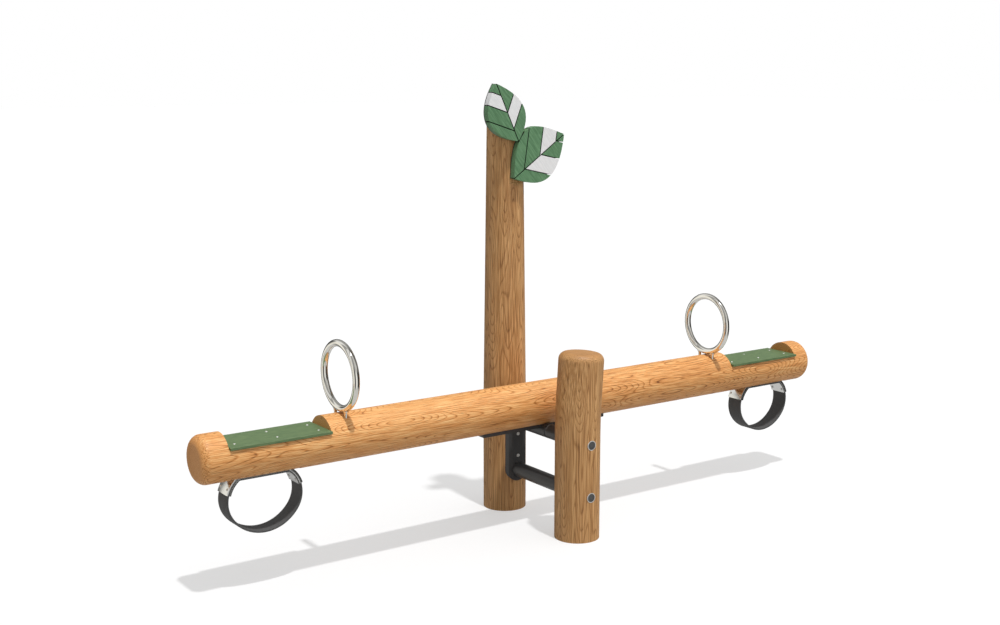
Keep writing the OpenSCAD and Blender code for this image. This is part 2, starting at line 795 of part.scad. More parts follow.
module saddle_screws() {
    color(stainless) at_saddle_screws() rotate([180, 0, 0])
        round_head_screw(coach_head_d, coach_head_h, coach_d, saddle_t + coach_grip);
}

// Board section with rounded upper edges, standing on the x axis
module seat_section(w) {
    translate([-w / 2, 0]) square([w, seat_t - seat_round]);
    translate([-w / 2 + seat_round, 0]) square([w - 2 * seat_round, seat_t]);
    for (side = [-1, 1]) {
        translate([side * (w / 2 - seat_round), seat_t - seat_round]) circle(r = seat_round);
    }
}

module at_seat_screws() {
    step = (seat_length - 2 * seat_screw_inset) / 2;
    for (i = [-1, 0, 1], side = [-1, 1]) {
        translate([seat_x + i * step, side * seat_screw_gauge / 2, seat_floor_z + seat_t])
            children();
    }
}

module seat_board() {
    board_length = seat_length - 2 * seat_gap;
    difference() {
        translate([seat_x, 0, seat_floor_z]) intersection() {
            translate([0, beam_d, 0]) rotate([90, 0, 0])
                linear_extrude(2 * beam_d) seat_section(board_length);
            translate([-seat_length, 0, 0]) rotate([90, 0, 90])
                linear_extrude(2 * seat_length) seat_section(seat_w);
        }
        at_seat_screws() translate([0, 0, -seat_t - past])
            cylinder(d = seat_screw_d + 2 * seating, h = seat_t + 2 * past);
    }
}

module left_seat_board() { color(seat_green) on_left() seat_board(); }

module right_seat_board() { color(seat_green) seat_board(); }

module seat_screws() {
    color(stainless) on_both_ends() at_seat_screws()
        round_head_screw(seat_head_d, seat_head_h, seat_screw_d, seat_t + seat_screw_grip);
}

// Feet of the handle pegs, at the floor of their nut pockets
module at_pegs() {
    for (side = [-1, 1]) {
        translate([handle_x, side * peg_gauge / 2, peg_foot_z]) children();
    }
}

// Ring of round tube welded on two pegs that pass through the beam
module handle_ring() {
    peg_end = peg_foot_z - peg_nut_z + thread_end;
    peg_top = ring_z - sqrt(pow(ring_d / 2, 2) - pow(peg_gauge / 2, 2));
    translate([handle_x, 0, ring_z]) rotate([0, 90, 0])
        rotate_extrude() translate([ring_d / 2, 0]) circle(d = ring_tube_d);
    at_pegs() translate([0, 0, -peg_end]) cylinder(d = peg_d, h = peg_top - peg_foot_z + peg_end);
}

module left_handle_ring() { color(stainless) on_left() handle_ring(); }

module right_handle_ring() { color(stainless) handle_ring(); }

module handle_washers() {
    color(stainless) on_both_ends() at_pegs() translate([0, 0, -peg_washer_t])
        washer(peg_washer_d, peg_washer_t, peg_d + 2 * seating);
}

module handle_nuts() {
    color(stainless) on_both_ends() at_pegs() translate([0, 0, peg_nut_z - peg_foot_z])
        hex_nut(peg_nut_af, peg_nut_h, peg_d + 2 * seating);
}

// Curved strip of width w between two radii and two angles, about the Y axis
module arc_strip(r0, r1, a0, a1, w) {
    rotate([90, 0, 0]) rotate([0, 0, a0]) rotate_extrude(angle = a1 - a0)
        translate([r0, -w / 2]) square([r1 - r0, w]);
}

// Centre of the loop's right side arc
module at_loop_side() { translate([side_x, 0, shoulder_z]) children(); }

module on_both_legs() {
    translate([bumper_x, 0, 0]) on_both_ends() children();
}

// Clamp bolt places on both legs, z pointing out of the loop from the belt's inner face
module at_clamp_bolts() {
    for (side = [-1, 1]) {
        on_both_legs() at_loop_side() rotate([0, -clamp_bolt_angle, 0])
            translate([belt_in_r, side * clamp_bolt_gauge / 2, 0]) rotate([0, 90, 0]) children();
    }
}

// Screw places under a bumper bracket, z pointing up into the beam
module at_bumper_screws() {
    for (x = [-1, 1], y = [-1, 1]) {
        translate([bumper_x + x * bumper_screw_pitch / 2, y * bumper_screw_gauge / 2,
            flat_z - bumper_bracket_t]) children();
    }
}

// The curved legs start inside the flat middle and are a hair narrower
module bumper_bracket() {
    difference() {
        union() {
            translate([bumper_x - bracket_half, -bumper_w / 2, flat_z - bumper_bracket_t])
                cube([2 * bracket_half, bumper_w, bumper_bracket_t]);
            on_both_legs() at_loop_side()
                arc_strip(belt_in_r - bumper_bracket_t, belt_in_r, clamp_low_angle,
                    bracket_bend, bumper_w - 2 * seating);
        }
        at_clamp_bolts() translate([0, 0, -bumper_w / 4])
            cylinder(d = clamp_bolt_d + 2 * seating, h = bumper_w / 2);
        at_bumper_screws() translate([0, 0, -past])
            cylinder(d = coach_d + 2 * seating, h = bumper_bracket_t + 2 * past);
    }
}

module left_bumper_bracket() { color(stainless) on_left() bumper_bracket(); }

module right_bumper_bracket() { color(stainless) bumper_bracket(); }

// The bottom arc is a hair thicker and wider than the sides, whose ends run into it
module bumper_belt() {
    bottom_half = (belt_t + seating) / 2;
    lap = 0.5;
    difference() {
        union() {
            on_both_legs() at_loop_side()
                arc_strip(belt_in_r, belt_out_r, -join_angle - lap, belt_top_angle, belt_w);
            translate([bumper_x, 0, bottom_z])
                arc_strip(bottom_r - bottom_half, bottom_r + bottom_half, join_angle - 180,
                    -join_angle, belt_w + 2 * seating);
        }
        at_clamp_bolts() translate([0, 0, -past])
            cylinder(d = clamp_bolt_d + 2 * seating, h = belt_t + 2 * past);
    }
}

module left_bumper_belt() { color(belt_black) on_left() bumper_belt(); }

module right_bumper_belt() { color(belt_black) bumper_belt(); }

// Channels whose lips close over the belt's edges and bear on the bracket's legs
module bumper_clamp_plates() {
    overcut = 4;
    color(stainless) on_both_ends() difference() {
        on_both_legs() at_loop_side()
            arc_strip(belt_in_r, clamp_out_r, clamp_low_angle, clamp_top_angle, bumper_w);
        on_both_legs() at_loop_side()
            arc_strip(belt_in_r - belt_t, belt_out_r, clamp_low_angle - overcut,
                clamp_top_angle + overcut, belt_w + 2 * clamp_room);
        at_clamp_bolts() cylinder(d = clamp_bolt_d + 2 * seating, h = bumper_w / 2);
    }
}

module bumper_clamp_bolts() {
    shank = belt_t + clamp_t + bumper_bracket_t + clamp_nut_h;
    color(stainless) on_both_ends() at_clamp_bolts() translate([0, 0, belt_t + clamp_t])
        round_head_screw(clamp_head_d, clamp_head_h, clamp_bolt_d, shank);
}

module bumper_clamp_nuts() {
    color(stainless) on_both_ends() at_clamp_bolts()
        translate([0, 0, -bumper_bracket_t - clamp_nut_h])
            hex_nut(clamp_nut_af, clamp_nut_h, clamp_bolt_d + 2 * seating);
}

module bumper_screws() {
    color(stainless) on_both_ends() at_bumper_screws() rotate([180, 0, 0])
        round_head_screw(coach_head_d, coach_head_h, coach_d, bumper_bracket_t + coach_grip);
}

tall_post();
short_post();
rear_bracket();
front_bracket();
lower_tube();
rear_axle_sleeve();
front_axle_sleeve();
pivot_axle();
tie_rod();
post_washers();
post_nuts();
cap_rims();
cover_caps();
rear_bracket_screws();
front_bracket_screws();
upper_leaf_plate();
lower_leaf_plate();
leaf_plate_screws();
leaf_board_screws();
for (i = [0 : len(upper_left_veins)]) {
    leaf_board(upper_leaf, LEFT, i);
}
for (i = [0 : len(upper_right_veins)]) {
    leaf_board(upper_leaf, RIGHT, i);
}
for (i = [0 : len(lower_left_veins)]) {
    leaf_board(lower_leaf, LEFT, i);
}
for (i = [0 : len(lower_right_veins)]) {
    leaf_board(lower_leaf, RIGHT, i);
}
beam_log();
left_saddle_plate();
right_saddle_plate();
bearing_tube();
rear_bush();
front_bush();
saddle_screws();
left_seat_board();
right_seat_board();
seat_screws();
left_handle_ring();
right_handle_ring();
handle_washers();
handle_nuts();
left_bumper_bracket();
right_bumper_bracket();
left_bumper_belt();
right_bumper_belt();
bumper_clamp_plates();
bumper_clamp_bolts();
bumper_clamp_nuts();
bumper_screws();
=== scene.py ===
import math

import bmesh
import bpy
import numpy as np
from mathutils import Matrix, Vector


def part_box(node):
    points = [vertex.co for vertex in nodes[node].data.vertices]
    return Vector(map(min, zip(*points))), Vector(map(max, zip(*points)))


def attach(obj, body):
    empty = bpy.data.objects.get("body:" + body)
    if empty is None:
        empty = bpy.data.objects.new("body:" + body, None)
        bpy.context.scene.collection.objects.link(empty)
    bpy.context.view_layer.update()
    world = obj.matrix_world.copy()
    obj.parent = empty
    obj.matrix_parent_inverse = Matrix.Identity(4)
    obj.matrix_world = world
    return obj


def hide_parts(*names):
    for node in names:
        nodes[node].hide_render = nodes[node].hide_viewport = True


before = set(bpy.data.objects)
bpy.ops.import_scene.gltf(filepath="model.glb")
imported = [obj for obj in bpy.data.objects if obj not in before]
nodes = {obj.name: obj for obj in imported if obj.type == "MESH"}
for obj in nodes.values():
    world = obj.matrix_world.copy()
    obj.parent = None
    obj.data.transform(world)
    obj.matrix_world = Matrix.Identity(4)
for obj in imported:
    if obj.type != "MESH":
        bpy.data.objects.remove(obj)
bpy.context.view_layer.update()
replacedNodes = set()
print("frame loaded:", len(nodes), "nodes")


def hexColour(code):
    # sRGB hex to the linear RGBA that shader sockets hold
    shade = np.array([int(code[i : i + 2], 16) for i in (1, 3, 5)]) / 255
    linear = np.where(shade <= 0.04045, shade / 12.92, ((shade + 0.055) / 1.055) ** 2.4)
    return (*linear.tolist(), 1.0)


def addNode(tree, kind, inputs=None, stops=None, **settings):
    # one node: its settings, its ramp stops, and its inputs as values or as sockets to link
    node = tree.nodes.new(kind)
    for name, value in settings.items():
        setattr(node, name, value)
    for place, shade in stops or ():
        near = [e for e in node.color_ramp.elements if abs(e.position - place) < 1e-6]
        element = near[0] if near else node.color_ramp.elements.new(place)
        element.color = hexColour(shade) if isinstance(shade, str) else (shade, shade, shade, 1)
    for key, value in (inputs or {}).items():
        if isinstance(value, bpy.types.NodeSocket):
            tree.links.new(value, node.inputs[key])
        else:
            node.inputs[key].default_value = value
    return node


def newMaterial(name):
    # an empty material with its shader and the object's own coordinates, in metres
    material = bpy.data.materials.new(name)
    material.use_nodes = True
    tree = material.node_tree
    tree.nodes.clear()
    shader = addNode(tree, "ShaderNodeBsdfPrincipled")
    addNode(tree, "ShaderNodeOutputMaterial", {"Surface": shader.outputs[0]})
    place = addNode(tree, "ShaderNodeTexCoord").outputs["Object"]
    return material, tree, shader, place


def bandQuads(index):
    # quads between neighbouring stations of a closed band, index[station, column]
    beside = np.roll(index, -1, axis=1)
    return np.stack([index[:-1], beside[:-1], beside[1:], index[1:]], axis=-1).reshape(-1, 4).tolist()


def gridSolid(name, points, material, body, slot, replaced):
    # closed solid from points[station, angle]: quads round every station, a fan over each end
    rows, columns = points.shape[:2]
    index = np.arange(rows * columns).reshape(rows, columns)
    beside = np.roll(index, -1, axis=1)
    ends = np.stack([points[0].mean(axis=0), points[-1].mean(axis=0)])
    first = np.stack([np.full(columns, index.size), beside[0], index[0]], axis=-1)
    last = np.stack([np.full(columns, index.size + 1), index[-1], beside[-1]], axis=-1)
    vertices = np.concatenate([points.reshape(-1, 3), ends])
    faces = bandQuads(index) + first.tolist() + last.tolist()
    return finishPiece(name, vertices, faces, material, body, slot, replaced)


def closedMesh(name, vertices, faces):
    # mesh with outward faces and smooth shading
    mesh = bpy.data.meshes.new(name)
    mesh.from_pydata(vertices.tolist(), [], faces)
    shell = bmesh.new()
    shell.from_mesh(mesh)
    bmesh.ops.recalc_face_normals(shell, faces=shell.faces)
    shell.to_mesh(mesh)
    shell.free()
    mesh.polygons.foreach_set("use_smooth", np.ones(len(mesh.polygons), bool))
    return mesh


def finishPiece(name, vertices, faces, material, body, slot, replaced):
    # a new piece, set on its body in place of its CAD nodes
    mesh = closedMesh(name, vertices, faces)
    mesh.materials.append(material)
    piece = bpy.data.objects.new(name, mesh)
    bpy.context.scene.collection.objects.link(piece)
    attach(piece, body)
    if replaced:
        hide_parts(*replaced)
        replacedNodes.update(replaced)
    return piece


def joinBars(bars, base=0):
    # corners and faces of closed bars, each points[station, column] with one face over each end
    faces = []
    for bar in bars:
        rows, columns = bar.shape[:2]
        index = base + np.arange(rows * columns).reshape(rows, columns)
        faces += bandQuads(index) + [index[0].tolist(), index[-1].tolist()]
        base += rows * columns
    return np.concatenate([bar.reshape(-1, 3) for bar in bars]), faces


def roundBar(start, end, radius, columns):
    # two rings about an axis square to X: p + r (cos a u + sin a v), with no corner on a plane of symmetry
    axis = np.array(end) - np.array(start)
    u = np.array([1.0, 0.0, 0.0])
    v = np.cross(axis, u) / np.linalg.norm(axis)
    angles = (np.arange(columns) + 0.5) * 2 * math.pi / columns
    ring = radius * (np.cos(angles)[:, None] * u + np.sin(angles)[:, None] * v)
    return np.stack([start + ring, end + ring])


def roundedSection(middle, half, edge, steps):
    # rectangle with rounded corners, anticlockwise: corner centre + edge (cos t, sin t)
    signs = np.array([[1, 1], [-1, 1], [-1, -1], [1, -1]])
    turns = np.linspace(0, math.pi / 2, steps) + np.arange(4)[:, None] * math.pi / 2
    centres = np.array(middle) + signs * (np.array(half) - edge)
    return (centres[:, None, :] + edge * np.stack([np.cos(turns), np.sin(turns)], axis=-1)).reshape(-1, 2)


def carve(piece, bars):
    # bars taken out of a piece by one exact boolean, which is then fixed in the mesh
    cutter = bpy.data.objects.new("cutter", closedMesh("cutter", *joinBars(bars)))
    bpy.context.scene.collection.objects.link(cutter)
    cut = piece.modifiers.new("cut", "BOOLEAN")
    cut.operation = "DIFFERENCE"
    cut.solver = "EXACT"
    cut.object = cutter
    graph = bpy.context.evaluated_depsgraph_get()
    carved = bpy.data.meshes.new_from_object(piece.evaluated_get(graph))
    piece.modifiers.remove(cut)
    piece.data = carved
    bpy.data.objects.remove(cutter)


def solidBoxes(node):
    # box of each separate solid of a node: corners in one place share a label, and the lowest label
    # spreads over the triangles until nothing changes
    digits = 5
    mesh = nodes[node].data
    corners = np.empty(len(mesh.vertices) * 3)
    mesh.vertices.foreach_get("co", corners)
    spots, spotOf = np.unique(np.round(corners.reshape(-1, 3), digits), axis=0, return_inverse=True)
    loops = np.empty(len(mesh.loops), int)
    mesh.loops.foreach_get("vertex_index", loops)
    triangles = spotOf.ravel()[loops].reshape(-1, 3)
    label = np.arange(len(spots))
    while True:
        spread = label.copy()
        np.minimum.at(spread, triangles, label[triangles].min(axis=1)[:, None])
        if (spread == label).all():
            break
        label = spread
    return [(spots[label == one].min(axis=0), spots[label == one].max(axis=0)) for one in np.unique(label)]


def splitEdges(piece, angle):
    # smooth faces stay smooth, and arrises sharper than this angle stay crisp
    crisp = piece.modifiers.new("crispEdges", "EDGE_SPLIT")
    crisp.split_angle = math.radians(angle)
    crisp.use_edge_sharp = False


# Materials

beamGrain = {
    "tones": [(0.0, "#ffd08e"), (0.35, "#eba55f"), (0.62, "#c98341"), (1.0, "#7d471c")],
    "lateWood": [(0.0, 0.0), (0.5, 0.03), (0.72, 0.22), (0.86, 1.0), (0.94, 0.35), (1.0, 0.0)],
    "plain": 0.3,  # tone of the wood between growth lines
    "ringPitch": 0.0075,  # mean distance between growth lines on a cut face, m
    "loopLength": 0.75,  # length of one nest of pointed loops along the log, m
    "loopWidth": 0.12,  # width of one nest round the log, m
    "lines": 30.0,  # growth lines in one nest
    "wander": 7.0,  # growth lines by which a slow swell bends the nests out of round
    "softness": 0.35,  # how smoothly one nest runs into the next
    "lineShare": 0.47,  # how much darker a growth line is
    "fray": 0.35,  # how far fibres push a growth line aside, in line spacings
    "fibreWidth": 0.0026,  # real fibres are finer, drawn this coarse so that they show in the picture
    "fibreLength": 0.09,
    "fibreShare": 1.9,  # how much the tone changes from fibre to fibre
    "patchShare": 0.42,  # how much the tone changes from one part of the log to another
    "axis": (1, 0, 0),
    "endFrom": 0.6,  # a face is a cut end where its normal lies this much along the log
    "endFull": 0.95,
    "endTone": 0.06,  # how much darker a cut end is
    "endSoft": 0.6,  # how much fainter fibres and lines are on a cut end
    "endLine": 0.4,  # share of a growth line that is left there
    "gloss": (0.42, 0.62),
    "lineRelief": 0.35,  # height of a growth line against that of a fibre
}
postGrain = dict(beamGrain, loopLength=0.5, loopWidth=0.065, lines=14.0, wander=2.5, lineShare=0.3,
    fibreWidth=0.0018, fibreLength=0.24, patchShare=0.3, axis=(0, 0, 1), endTone=0.14,
    tones=[(0.0, "#f4c488"), (0.35, "#c69158"), (0.62, "#a2713f"), (1.0, "#64401f")])


def oiledRobinia(name, turn, centre, grainOf):
    # Peeled and oiled round timber. Growth lines are the contours of stretched cells, called nests here,
    # laid over the distance from the pith, so a log's side shows long pointed loops and a cut face shows
    # arcs: phase = fract(lines * nest + wander * swell + reach / ringPitch + fray * fibre).
    # turn lays the log's length on X, centre moves the pith there.
    material, tree, shader, place = newMaterial(name)
    grain = addNode(tree, "ShaderNodeMapping", {0: place, "Location": centre, "Rotation": turn}).outputs[0]
    across = addNode(tree, "ShaderNodeVectorMath", {0: grain, 1: (0, 1, 1)}, operation="MULTIPLY").outputs[0]
    reach = addNode(tree, "ShaderNodeVectorMath", {0: across}, operation="LENGTH").outputs["Value"]

    loopScale = (1 / grainOf["loopLength"], 1 / grainOf["loopWidth"], 1 / grainOf["loopWidth"])
    loopPlace = addNode(tree, "ShaderNodeMapping", {0: grain, "Scale": loopScale}).outputs[0]
    nests = addNode(tree, "ShaderNodeTexVoronoi",
        {"Vector": loopPlace, "Scale": 1.0, "Smoothness": grainOf["softness"]},
        feature="SMOOTH_F1").outputs["Distance"]
    swell = addNode(tree, "ShaderNodeTexNoise", {"Vector": loopPlace, "Scale": 1.6, "Detail": 1.0}).outputs[0]
    years = addNode(tree, "ShaderNodeMath",
        {0: reach, 1: 1 / grainOf["ringPitch"]}, operation="MULTIPLY").outputs[0]
    uneven = addNode(tree, "ShaderNodeMath",
        {0: swell, 1: grainOf["wander"], 2: years}, operation="MULTIPLY_ADD").outputs[0]
    smooth = addNode(tree, "ShaderNodeMath",
        {0: nests, 1: grainOf["lines"], 2: uneven}, operation="MULTIPLY_ADD").outputs[0]

    fibreScale = (1 / grainOf["fibreLength"], 1 / grainOf["fibreWidth"], 1 / grainOf["fibreWidth"])
    fibrePlace = addNode(tree, "ShaderNodeMapping", {0: grain, "Scale": fibreScale}).outputs[0]
    strands = addNode(tree, "ShaderNodeTexNoise",
        {"Vector": fibrePlace, "Scale": 1.0, "Detail": 3.0, "Roughness": 0.6}).outputs[0]
    # on a cut end the fibres are seen end on and soften
    facing = addNode(tree, "ShaderNodeTexCoord").outputs["Normal"]
    lengthways = addNode(tree, "ShaderNodeVectorMath",
        {0: facing, 1: grainOf["axis"]}, operation="DOT_PRODUCT").outputs["Value"]
    endways = addNode(tree, "ShaderNodeMath", {0: lengthways}, operation="ABSOLUTE").outputs[0]
    softer = addNode(tree, "ShaderNodeMapRange",
        {0: endways, 1: grainOf["endFrom"], 2: grainOf["endFull"], 3: 0.0, 4: grainOf["endSoft"]}).outputs[0]
    fibres = addNode(tree, "ShaderNodeMix", {0: softer, 2: strands, 3: 0.5}).outputs[0]
    frayed = addNode(tree, "ShaderNodeMath",
        {0: fibres, 1: grainOf["fray"], 2: smooth}, operation="MULTIPLY_ADD").outputs[0]
    phase = addNode(tree, "ShaderNodeMath", {0: frayed}, operation="FRACT").outputs[0]
    lateWood = addNode(tree, "ShaderNodeValToRGB", {0: phase}, stops=grainOf["lateWood"]).outputs[0]
    patches = addNode(tree, "ShaderNodeTexNoise",
        {"Vector": loopPlace, "Scale": 0.9, "Detail": 2.0, "Roughness": 0.5}).outputs[0]

    fibreTone = addNode(tree, "ShaderNodeMath",
        {0: fibres, 1: grainOf["fibreShare"], 2: grainOf["plain"] - grainOf["fibreShare"] / 2},
        operation="MULTIPLY_ADD").outputs[0]
    share = addNode(tree, "ShaderNodeMapRange",
        {0: softer, 3: grainOf["lineShare"], 4: grainOf["endLine"] * grainOf["lineShare"]}).outputs[0]
    lineTone = addNode(tree, "ShaderNodeMath",
        {0: lateWood, 1: share, 2: fibreTone}, operation="MULTIPLY_ADD").outputs[0]
    patchTone = addNode(tree, "ShaderNodeMath",
        {0: patches, 1: grainOf["patchShare"], 2: -grainOf["patchShare"] / 2},
        operation="MULTIPLY_ADD").outputs[0]
    sideTone = addNode(tree, "ShaderNodeMath", {0: lineTone, 1: patchTone}, operation="ADD").outputs[0]
    # cut ends drink more oil and look darker
    tone = addNode(tree, "ShaderNodeMath",
        {0: softer, 1: grainOf["endTone"], 2: sideTone}, operation="MULTIPLY_ADD").outputs[0]
    colour = addNode(tree, "ShaderNodeValToRGB", {0: tone}, stops=grainOf["tones"]).outputs[0]
    smoothest, roughest = grainOf["gloss"]
    gloss = addNode(tree, "ShaderNodeMapRange", {0: fibres, 3: smoothest, 4: roughest}).outputs[0]
    relief = addNode(tree, "ShaderNodeMath",
        {0: lateWood, 1: grainOf["lineRelief"], 2: fibres}, operation="MULTIPLY_ADD").outputs[0]
    bump = addNode(tree, "ShaderNodeBump",
        {"Height": relief, "Strength": 0.35, "Distance": 0.0008}).outputs[0]
    tree.links.new(colour, shader.inputs["Base Color"])
    tree.links.new(gloss, shader.inputs["Roughness"])
    tree.links.new(bump, shader.inputs["Normal"])
    return material


speckle = {
    "range": (0.3, 0.7),  # of the noise, from the dark shade to the pale one
    "glossSpread": 0.08,
    # painted shade: the colour the board joints are darkened to where ambient occlusion finds a close
    # neighbour
    "jointShadeColour": "#141714",
    "sheltered": (0.55, 0.9),  # open share of the surroundings, from full painted shade to none
}


def mottled(name, pale, dark, size, rough, stretch=1.0, turn=(0, 0, 0), metal=0.0, relief=0.0002,
        paintedShadeReach=0.0, shine=0.5):
    # Two close shades in streaks of one real size, a fine relief, and painted shade in the joints when a
    # reach is given.
    material, tree, shader, place = newMaterial(name)
    turned = addNode(tree, "ShaderNodeMapping", {0: place, "Rotation": turn}).outputs[0]
    scale = (1 / (size * stretch), 1 / size, 1 / size)
    spread = addNode(tree, "ShaderNodeMapping", {0: turned, "Scale": scale}).outputs[0]
    speck = addNode(tree, "ShaderNodeTexNoise",
        {"Vector": spread, "Scale": 1.0, "Detail": 4.0, "Roughness": 0.65}).outputs[0]
    darkest, palest = speckle["range"]
    shade = addNode(tree, "ShaderNodeMapRange", {0: speck, 1: darkest, 2: palest}).outputs[0]
    colour = addNode(tree, "ShaderNodeMix",
        {0: shade, 6: hexColour(dark), 7: hexColour(pale)}, data_type="RGBA").outputs[2]
    if paintedShadeReach:
        # painted shade in the joints: ambient occlusion darkens arrises that face a neighbour closer than
        # this reach, as if shade fell there
        shelter = addNode(tree, "ShaderNodeAmbientOcclusion", {"Distance": paintedShadeReach}, samples=8).outputs["AO"]
        fullShade, noShade = speckle["sheltered"]
        unshaded = addNode(tree, "ShaderNodeMapRange", {0: shelter, 1: fullShade, 2: noShade}).outputs[0]
        colour = addNode(tree, "ShaderNodeMix",
            {0: unshaded, 6: hexColour(speckle["jointShadeColour"]), 7: colour}, data_type="RGBA").outputs[2]
    smoothest, roughest = rough - speckle["glossSpread"], rough + speckle["glossSpread"]
    gloss = addNode(tree, "ShaderNodeMapRange", {0: speck, 3: smoothest, 4: roughest}).outputs[0]
    bump = addNode(tree, "ShaderNodeBump", {"Height": speck, "Strength": 0.5, "Distance": relief}).outputs[0]
    shader.inputs["Metallic"].default_value = metal
    shader.inputs["Specular IOR Level"].default_value = shine
    tree.links.new(colour, shader.inputs["Base Color"])
    tree.links.new(gloss, shader.inputs["Roughness"])
    tree.links.new(bump, shader.inputs["Normal"])
    return material


upright = (0, math.radians(90), 0)
leafLean = (0, math.radians(-50), 0)
shortPostShift = 0.7  # along the log, so that both posts don't show the same grain
postY = (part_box("tall_post")[0].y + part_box("tall_post")[1].y) / 2
beamLow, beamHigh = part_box("beam_log")
beamRadius = (beamHigh.y - beamLow.y) / 2
axisHeight = beamHigh.z - beamRadius

looks = {
    # peeled, turned and oiled logs: warm lines and fibres under a dull shine
    "beam_wood": oiledRobinia("beamTimber", (0, 0, 0), (0, 0, -axisHeight), beamGrain),
    "tallPost": oiledRobinia("tallPostTimber", upright, (0, -postY, 0), postGrain),
    "shortPost": oiledRobinia("shortPostTimber", upright, (shortPostShift, postY, 0), postGrain),
    # folded steel under powder coat: even satin black with a fine orange peel
    "black_steel": mottled("blackPowderCoat", "#515151", "#444444", size=0.004, rough=0.34, shine=0.36),
    # polished stainless tube: a mirror with hardly any relief
    "polished_steel": mottled("polishedStainless", "#f2f0e9", "#e6e3db", size=0.02, rough=0.08, stretch=6.0,
        metal=1.0, relief=0.000005),
    # rolled stainless bar, brushed along X: a blurred mirror with long fine streaks
    "bumper_steel": mottled("satinStainless", "#eeeeeb", "#dededa", size=0.002, rough=0.2, stretch=30.0,
        metal=1.0, relief=0.00002),
    # zinc-plated steel, dulled by weather: pale grey, hardly a mirror any more
    "fastener_steel": mottled("dullZincPlate", "#efeeea", "#dddcd8", size=0.002, rough=0.45, stretch=2.0,
        metal=0.3, relief=0.00003),
    # moulded plastic: plain dark grey and black with a soft shine
    "cap_plastic": mottled("greyCapPlastic", "#5b5b5a", "#494948", size=0.003, rough=0.5),
    "bush_plastic": mottled("blackNylon", "#3d3d3d", "#303030", size=0.003, rough=0.5),
    # pressed rubber belting: dull dark grey with faint marks drawn out along X
    "belt_rubber": mottled("ribbedRubber", "#595959", "#484848", size=0.004, rough=0.62, stretch=4.0),
    # sawn plastic sheet: olive green with wide, faint clouds
    "seat_plastic": mottled("greenSeatSheet", "#71885b", "#566f49", size=0.008, rough=0.55, stretch=4.0),
    # planed boards under a coloured glaze: streaks along the board, painted shade in the joints
    "leaf_green": mottled("greenGlazedBoard", "#79a87b", "#4b7850", size=0.004, rough=0.55, stretch=14.0,
        turn=leafLean, paintedShadeReach=0.012),
    "leaf_white": mottled("whiteGlazedBoard", "#ffffff", "#f0f0f0", size=0.004, rough=0.55, stretch=14.0,
        turn=leafLean, paintedShadeReach=0.012),
}
print("materials:", len(looks))


# Timber

def clipped(radius, angles, low, high):
    # section of a log sawn flat below and above: y = r cos a, z = r sin a kept between low and high
    side = radius[:, None] * np.cos(angles)
    height = np.clip(radius[:, None] * np.sin(angles), low[:, None], high[:, None])
    return side, height


beamLog = {
    "step": 0.012,  # between stations along the log, m
    "endRound": 0.035,
    "endStations": 13,
    "quarterFacets": 40,  # between two corners of the section
    "wall": 0.0006,  # length in which a notch's end wall drops
    "room": 0.001,  # between a notch's end and what lies in it
    "pocket": 0.014,  # radius of the nut pockets under the hand rings
    "crownGap": 0.0005,  # between a cut and what lies in it
    "facets": 64,  # of round cuts
    "crisp": 35,
}


def makeBeam(settings):
    # rounded ends: x = L/2 - R + R sin p and r = r0 - R (1 - cos p), flats by clipping z
    half = beamHigh.x
    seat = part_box("right_seat_board")
    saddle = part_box("right_saddle_plate")
    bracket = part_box("right_bumper_bracket")
    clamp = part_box("bumper_clamp_plates")
    bumperX = (bracket[0].x + bracket[1].x) / 2
    bumperHalf = clamp[1].x - bumperX
    room = settings["room"]
    wall = settings["wall"]
    endRound = settings["endRound"]
    endStations = settings["endStations"]
    notch = (seat[0].x - room, seat[1].x + room)
    sawn = [(-half, saddle[1].x + room), (bumperX - bumperHalf, bumperX + bumperHalf)]
    straight = half - endRound
    marks = sorted({0.0, *notch, sawn[0][1], *sawn[1], straight})
    low, high, free = saddle[1].z - axisHeight, seat[0].z - axisHeight, 2 * beamRadius
    xs, lows, highs = [], [], []
    for start, end in zip(marks[:-1], marks[1:]):
        middle = (start + end) / 2
        count = max(2, round((end - start) / settings["step"]))
        xs.append(np.linspace(start + wall / 2, end - wall / 2, count))
        lows.append(np.full(count, low if any(a < middle < b for a, b in sawn) else -free))
        highs.append(np.full(count, high if notch[0] < middle < notch[1] else free))
    turn = np.linspace(0, math.pi / 2, endStations + 1)[1:]
    x = np.concatenate([*xs, straight + endRound * np.sin(turn)])
    lowest = np.concatenate([*lows, np.full(endStations, -free)])
    highest = np.concatenate([*highs, np.full(endStations, free)])
    radius = np.full(len(x), beamRadius)
    radius[-endStations:] = beamRadius - endRound * (1 - np.cos(turn))
    x = np.concatenate([-x[::-1], x])
    radius, lowest, highest = (np.concatenate([a[::-1], a]) for a in (radius, lowest, highest))
    lowEdge, highEdge = math.asin(low / beamRadius), math.asin(high / beamRadius)
    corners = [lowEdge, highEdge, math.pi - highEdge, math.pi - lowEdge, 2 * math.pi + lowEdge]
    angles = np.concatenate([np.linspace(a, b, settings["quarterFacets"], endpoint=False)
        for a, b in zip(corners[:-1], corners[1:])])
    side, height = clipped(radius, angles, lowest, highest)
    points = np.stack([np.broadcast_to(x[:, None], side.shape), side, height + axisHeight], axis=-1)
    beam = gridSolid("beamLog", points, looks["beam_wood"], "beam", "beam_wood", ["beam_log"])

    # groove for the bearing tube, pockets for the hand rings' nuts
    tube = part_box("bearing_tube")
    tubeZ, tubeRadius = (tube[0].z + tube[1].z) / 2, (tube[1].z - tube[0].z) / 2
    gap = settings["crownGap"]
    facets = settings["facets"]
    bars = [roundBar((0, -free, tubeZ), (0, free, tubeZ), tubeRadius + gap, facets)]
    for foot, top in solidBoxes("handle_washers"):
        x, y = (foot[0] + top[0]) / 2, (foot[1] + top[1]) / 2
        bars.append(roundBar((x, y, 0), (x, y, top[2] + gap), settings["pocket"], facets))
    carve(beam, bars)
    splitEdges(beam, settings["crisp"])
    return beam


